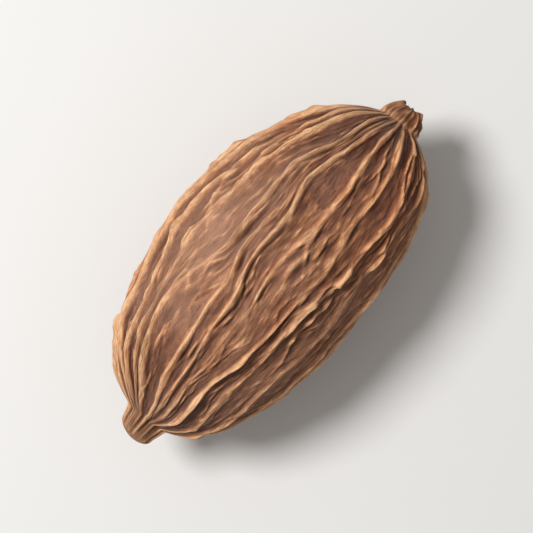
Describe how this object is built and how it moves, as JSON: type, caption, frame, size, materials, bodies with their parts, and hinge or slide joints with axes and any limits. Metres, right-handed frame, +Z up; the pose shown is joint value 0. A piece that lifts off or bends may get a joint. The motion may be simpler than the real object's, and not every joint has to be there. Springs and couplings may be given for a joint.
{
  "type": "black cardamom pod",
  "caption": "Dried ribbed seed pod lying on its side, with the stub of its stalk at one end and a short withered flower tube at the other.",
  "frame": {"origin": "centre of the bounding box's bottom face, at the middle of the resting side", "axes": "+X along the pod from the stalk's stub to the flower tube, +Y across it, +Z up"},
  "size_m": [0.034, 0.0172, 0.015],
  "materials": {
    "husk": "dry matte husk"
  },
  "bodies": {
    "root": {"pod": "husk"}
  },
  "joints": []
}
